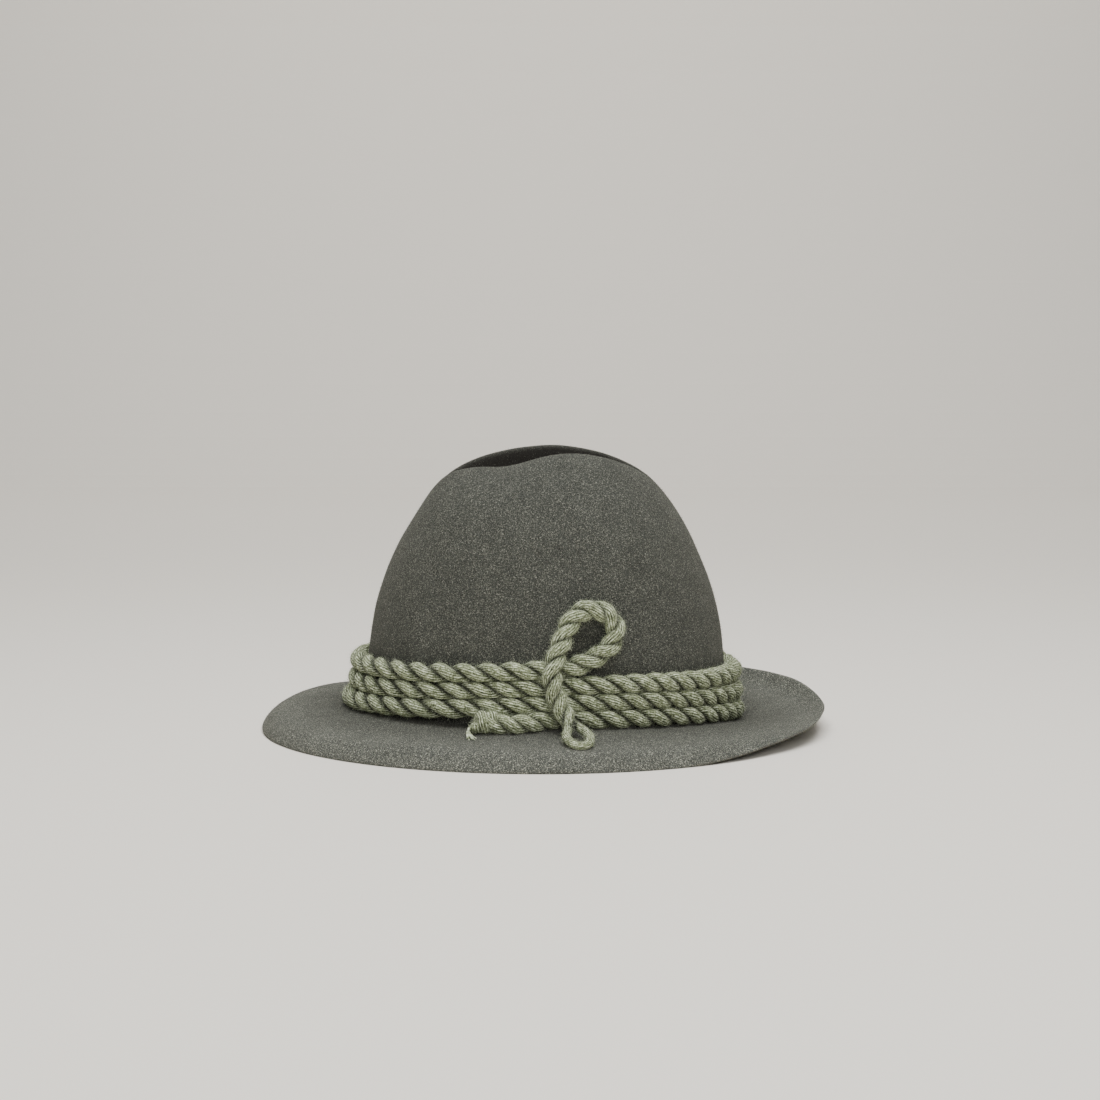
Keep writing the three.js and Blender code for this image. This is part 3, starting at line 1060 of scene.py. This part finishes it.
class HAT_OT_loop(bpy.types.Operator):
    """Raise the loop and lay down the eye at its end"""

    bl_idname = "hat.loop"
    bl_label = "Cord loop"

    def execute(self, context):
        settings = context.scene.hat_cord
        cord = cord_line()
        wool = bpy.data.materials["carded_wool_cord_plied"]
        loose = bpy.data.materials["wool_fuzz_on_cord"]
        rows = self.strand_rows(cord, settings)
        turn = -distances(rows["centre"]) * 2 * math.pi / YARN_LAY
        mesh = tube_mesh(
            "loop_strand", rows["centre"], rows["radius"], PLY_SIDES, cord["felt"], turn, rows
        )
        strand = finish(new_object("loop_strand", mesh), "wool_cord", wool, "cord_loop")
        add_fuzz(strand, LOOP_FUZZ, 41, settings, loose)
        return {"FINISHED"}

    def strand_rows(self, cord, settings):
        """The one strand that goes up the loop as a ply, round the eye and back as the other"""
        start, end = cord["winding_end"], cord["along"][-1]
        plies = [ply_rows(cord, which, start, end, settings) for which in (0, 1)]
        plies.sort(key=lambda ply: -ply["centre"][-1][0])
        right, left = plies
        eye_line = self.eye_points(Vector(cord["line"][-1]))
        count = len(eye_line)
        eye = {
            "centre": eye_line,
            "radius": np.full(count, right["radius"][-1]),
            "inward": np.zeros((count, 3)),
            "middle": eye_line,
            "toward": np.zeros((count, *right["toward"].shape[1:])),
            "room": np.full((count, *right["room"].shape[1:]), NO_NEIGHBOUR),
        }
        rows = {key: np.concatenate([right[key], eye[key], left[key][::-1]]) for key in right}
        gone = distances(rows["centre"])
        even = evenly(rows["centre"], PATH_STEP)
        wanted = distances(even)
        wanted *= gone[-1] / wanted[-1]
        rows = {key: resampled(value, gone, wanted) for key, value in rows.items()}
        joints = gone[len(right["centre"]) - 1], gone[len(right["centre"]) + count]
        near = np.minimum(*(np.abs(wanted - joint) for joint in joints))
        soft = fade(near, JOINT_FROM, JOINT_TO)[:, None]
        rows["centre"] = even + (eased(even, STRAND_EASE) - even) * soft
        return rows

    def eye_points(self, neck):
        """The strand's way round the eye, from the neck's right side to its left"""
        long = (EYE_LENGTH - EYE_PLY) / 2
        wide = (EYE_WIDTH - EYE_PLY) / 2
        place = (
            Matrix.Translation(neck)
            @ Matrix.Rotation(math.radians(EYE_TURN), 4, "Z")
            @ Matrix.Rotation(math.radians(EYE_SLOPE), 4, "X")
        )
        points = []
        for share in np.linspace(*EYE_SHARES, EYE_POINTS):
            angle = 2 * math.pi * share
            flat = Vector((wide * math.sin(angle), long * (math.cos(angle) - 1), 0))
            points.append((place @ flat)[:])
        return np.array(points)


class HAT_OT_tail(bpy.types.Operator):
    """Lay the tail on the brim, with its knot and frayed tip"""

    bl_idname = "hat.tail"
    bl_label = "Cord tail"

    def execute(self, context):
        settings = context.scene.hat_cord
        cord = cord_line()
        wool = bpy.data.materials["carded_wool_cord_plied"]
        loose = bpy.data.materials["wool_fuzz_on_cord"]
        meshes = [
            ply_mesh(f"tail_ply_{which}", cord, which, 0, cord["tail_end"], settings, True)
            for which in (0, 1)
        ]
        end = cord["line"][0]
        meshes.append(self.knot(end, cord["felt"], settings))
        tail = finish(joined("tail_and_knot", meshes), "wool_cord", wool, "cord_tail")
        finish(joined("frayed_tip", self.frayed(end, cord["felt"])), "wool_cord", loose)
        add_fuzz(tail, TAIL_FUZZ, 51, settings, loose)
        return {"FINISHED"}

    def knot(self, end, felt, settings):
        """Two wraps of a ply round the cord's end"""
        turned = np.linspace(KNOT_FROM, KNOT_TO, KNOT_POINTS)
        points = np.stack(
            [
                end[0] + KNOT_PITCH * (0.7 - turned / (2 * math.pi)),
                end[1] + KNOT_RADIUS * np.sin(turned),
                end[2] + KNOT_RADIUS * np.cos(turned),
            ],
            axis=1,
        )
        points = evenly(points, PATH_STEP)
        radii = round_ends(np.full(len(points), settings.ply * KNOT_PLY), PATH_STEP)
        turn = distances(points) * 2 * math.pi / YARN_LAY
        return tube_mesh("knot", points, radii, PLY_SIDES, felt, turn)

    def frayed(self, end, felt):
        """The yarns that stick out of the knot, bent over on the brim"""
        meshes = []
        root = end + np.array([-1.3 * KNOT_PITCH, -2 * MM, -1.8 * MM])
        for number in range(FRAYED_YARNS):
            spread = 2 * number / (FRAYED_YARNS - 1) - 1
            bend = 0.8 * math.sin(number * 2.4)
            steps = (
                (0, 0, 0),
                (-1.8, -2.4 + 0.3 * bend, -1.0 + 0.4 * spread),
                (-1.8 + 0.8 * spread, -4.6, -2.3 + 0.4 * bend),
                (-0.8 + 1.4 * spread, -7.6 + bend, -3.4 + 0.5 * bend),
                (0.2 + 2.4 * spread, -10.6 + 2 * bend, -4.2 + 0.5 * bend),
            )
            route = root + np.array(steps) * MM
            points = evenly(spline(route, np.linspace(0, 1, 40)), FRAYED_STEP)
            radii = np.linspace(FRAYED_ROOT, FRAYED_TIP, len(points))
            meshes.append(tube_mesh(f"frayed_{number}", points, radii, FRAYED_SIDES, felt))
        return meshes


class HAT_OT_stage(bpy.types.Operator):
    """Set the floor, the lights and the camera"""

    bl_idname = "hat.stage"
    bl_label = "Stage"

    def execute(self, context):
        settings = context.scene.hat_stage
        self.floor(settings)
        self.lights(settings)
        self.camera(context)
        return {"FINISHED"}

    def floor(self, settings):
        """A level floor that turns up into a backdrop"""
        bm = bmesh.new()
        bmesh.ops.create_grid(bm, x_segments=1, y_segments=1, size=FLOOR_HALF)
        bmesh.ops.translate(bm, verts=bm.verts, vec=(0, FLOOR_BACK - FLOOR_HALF, 0))
        back = [e for e in bm.edges if all(v.co.y > FLOOR_BACK - 0.1 for v in e.verts)]
        bmesh.ops.spin(
            bm,
            geom=back + list({v for e in back for v in e.verts}),
            cent=(0, FLOOR_BACK, BEND_RADIUS),
            axis=(1, 0, 0),
            angle=math.radians(90),
            steps=16,
        )
        top = [e for e in bm.edges if all(v.co.z > BEND_RADIUS - 0.01 for v in e.verts)]
        raised = bmesh.ops.extrude_edge_only(bm, edges=top)["geom"]
        raised = [g for g in raised if isinstance(g, bmesh.types.BMVert)]
        bmesh.ops.translate(bm, verts=raised, vec=(0, 0, BACKDROP_HEIGHT))
        bmesh.ops.recalc_face_normals(bm, faces=bm.faces)
        mesh = bpy.data.meshes.new("floor")
        bm.to_mesh(mesh)
        bm.free()
        floor = new_object("floor", mesh)
        floor.data.materials.append(painted_board(settings.floor))

    def lights(self, settings):
        for name, place, width, depth, aim in LIGHTS:
            self.soft_light(name, place, width, depth, getattr(settings, name), aim)
        world = bpy.data.worlds.new("studio")
        world.use_nodes = True
        world.node_tree.nodes.clear()
        glow = add(
            world.node_tree,
            "ShaderNodeBackground",
            {"Color": rgba(linear("#f2f1ee")), "Strength": settings.fill},
        )
        add(world.node_tree, "ShaderNodeOutputWorld", {"Surface": glow.outputs[0]})
        bpy.context.scene.world = world

    def soft_light(self, name, place, width, depth, power, aim):
        light = bpy.data.lights.new(name, "AREA")
        light.shape = "RECTANGLE"
        light.size = width
        light.size_y = depth
        light.energy = power
        lamp = new_object(name, light)
        lamp.location = place
        lamp.rotation_euler = (Vector(aim) - lamp.location).to_track_quat("-Z", "Y").to_euler()

    def camera(self, context):
        lens = bpy.data.cameras.new("camera")
        lens.lens = CAMERA_LENS
        camera = new_object("camera", lens)
        camera.location = CAMERA_PLACE
        camera.rotation_euler = (math.radians(90 - CAMERA_PITCH), 0, 0)
        context.scene.camera = camera


class HAT_PT_panel(bpy.types.Panel):
    """Sizes and colours of the hat, and a button for each piece"""

    bl_label = "Felt Hat"
    bl_space_type = "VIEW_3D"
    bl_region_type = "UI"
    bl_category = "Felt Hat"

    def draw(self, context):
        for group, operators in (
            (context.scene.hat_felt, ("hat.felt",)),
            (context.scene.hat_cord, ("hat.winding", "hat.loop", "hat.tail")),
            (context.scene.hat_stage, ("hat.stage",)),
        ):
            box = self.layout.box()
            for name in group.__annotations__:
                box.prop(group, name)
            for operator in operators:
                box.operator(operator)


CLASSES = (
    FeltSettings,
    CordSettings,
    StageSettings,
    HAT_OT_felt,
    HAT_OT_winding,
    HAT_OT_loop,
    HAT_OT_tail,
    HAT_OT_stage,
    HAT_PT_panel,
)


def register():
    for each in CLASSES:
        bpy.utils.register_class(each)
    bpy.types.Scene.hat_felt = PointerProperty(type=FeltSettings)
    bpy.types.Scene.hat_cord = PointerProperty(type=CordSettings)
    bpy.types.Scene.hat_stage = PointerProperty(type=StageSettings)


def unregister():
    del bpy.types.Scene.hat_stage
    del bpy.types.Scene.hat_cord
    del bpy.types.Scene.hat_felt
    for each in reversed(CLASSES):
        bpy.utils.unregister_class(each)


def main():
    register()
    bpy.ops.hat.felt()
    bpy.ops.hat.winding()
    bpy.ops.hat.loop()
    bpy.ops.hat.tail()
    bpy.ops.hat.stage()


if __name__ == "__main__":
    main()
